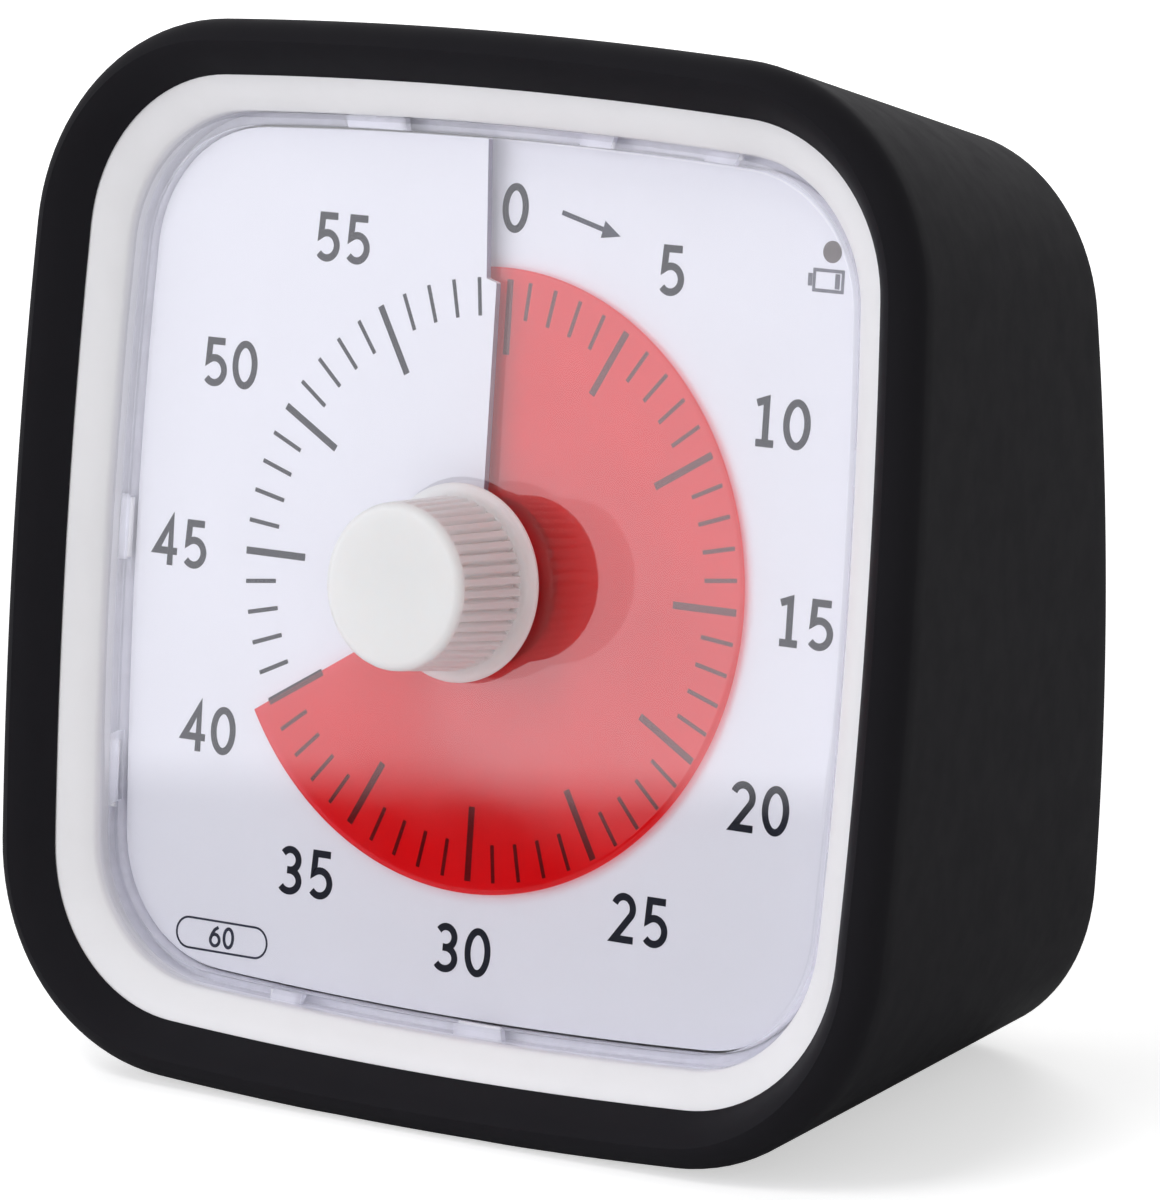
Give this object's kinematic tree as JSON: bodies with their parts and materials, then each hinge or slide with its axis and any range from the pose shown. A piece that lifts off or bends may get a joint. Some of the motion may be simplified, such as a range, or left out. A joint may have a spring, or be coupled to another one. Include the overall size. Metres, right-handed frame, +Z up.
{
  "type": "countdown timer",
  "caption": "Square desk countdown timer in a black silicone sleeve, with a white dial, a red disc that shows the minutes left and a ribbed setting knob.",
  "frame": {"origin": "on the table, under the middle of the timer's bounding box", "axes": "+Z up, +Y from the dial towards the back cover, +X to the right as the dial is read"},
  "size_m": [0.0892, 0.0546, 0.0882],
  "materials": {
    "silicone": "satin",
    "white_plastic": "gloss",
    "clear_plastic": "gloss",
    "dial_sheet": "matte",
    "red_film": "satin",
    "steel": "satin",
    "cell": "gloss",
    "board": "satin",
    "brown_board": "matte",
    "black_plastic": "matte",
    "led": "gloss",
    "brass": "satin",
    "gear_plastic": "satin"
  },
  "bodies": {
    "case": {"silicone_sleeve": "silicone", "front_housing": "white_plastic", "lens": "clear_plastic", "dial_plate": "dial_sheet", "dial_carrier": "white_plastic", "chassis": "white_plastic", "back_cover": "white_plastic", "housing_screws": "steel", "battery_cell_upper": "cell", "battery_cell_lower": "cell", "contact_springs": "steel", "contact_plates": "steel", "movement_base": "white_plastic", "movement_screws": "steel", "motor": "steel", "zero_switch": "brown_board", "circuit_board": "board", "control_chip": "black_plastic", "timing_crystal": "steel", "buzzer": "black_plastic", "switch_housing": "steel", "low_battery_led": "led", "led_board": "board"},
    "knob_shaft": {"knob": "white_plastic", "knob_shaft": "gear_plastic", "main_wheel": "gear_plastic", "clutch_spring": "steel", "zero_cam": "gear_plastic", "shaft_clip": "steel"},
    "disc": {"disc_hub": "gear_plastic", "time_disc": "red_film"},
    "third_wheel": {"third_wheel": "gear_plastic"},
    "motor_pinion": {"motor_pinion": "brass"},
    "battery_door": {"battery_door": "white_plastic"},
    "volume_slider": {"volume_slider": "black_plastic"}
  },
  "joints": [
    {"name": "knob_turn", "type": "hinge", "parent": "case", "child": "knob_shaft", "pos_m": [0, -0.01235, 0.04332], "axis": [0, 0.9922, -0.1245], "range_deg": [-240, 120]},
    {"name": "disc_creep", "type": "slide", "parent": "knob_shaft", "child": "disc", "axis": [0, -0.9922, 0.1245], "range_m": [-0.00107, 0.00053]},
    {"name": "third_wheel_turn", "type": "hinge", "parent": "case", "child": "third_wheel", "pos_m": [-0.01568, -0.01123, 0.0523], "axis": [0, 0.9922, -0.1245], "range_deg": [-600, 1200]},
    {"name": "motor_pinion_turn", "type": "hinge", "parent": "case", "child": "motor_pinion", "pos_m": [-0.01154, -0.00981, 0.06358], "axis": [0, 0.9922, -0.1245], "range_deg": [-6000, 3000]},
    {"name": "battery_door_off", "type": "slide", "parent": "case", "child": "battery_door", "axis": [0, 1, 0], "range_m": [0, 0.03]},
    {"name": "volume_slide", "type": "slide", "parent": "case", "child": "volume_slider", "axis": [1, 0, 0], "range_m": [-0.0025, 0.0025]}
  ],
  "couplings": [
    {"joint": "disc_creep", "follows": "knob_turn", "m_per_rad": 0.00025465},
    {"joint": "third_wheel_turn", "follows": "knob_turn", "ratio": -5},
    {"joint": "motor_pinion_turn", "follows": "knob_turn", "ratio": 25}
  ]
}
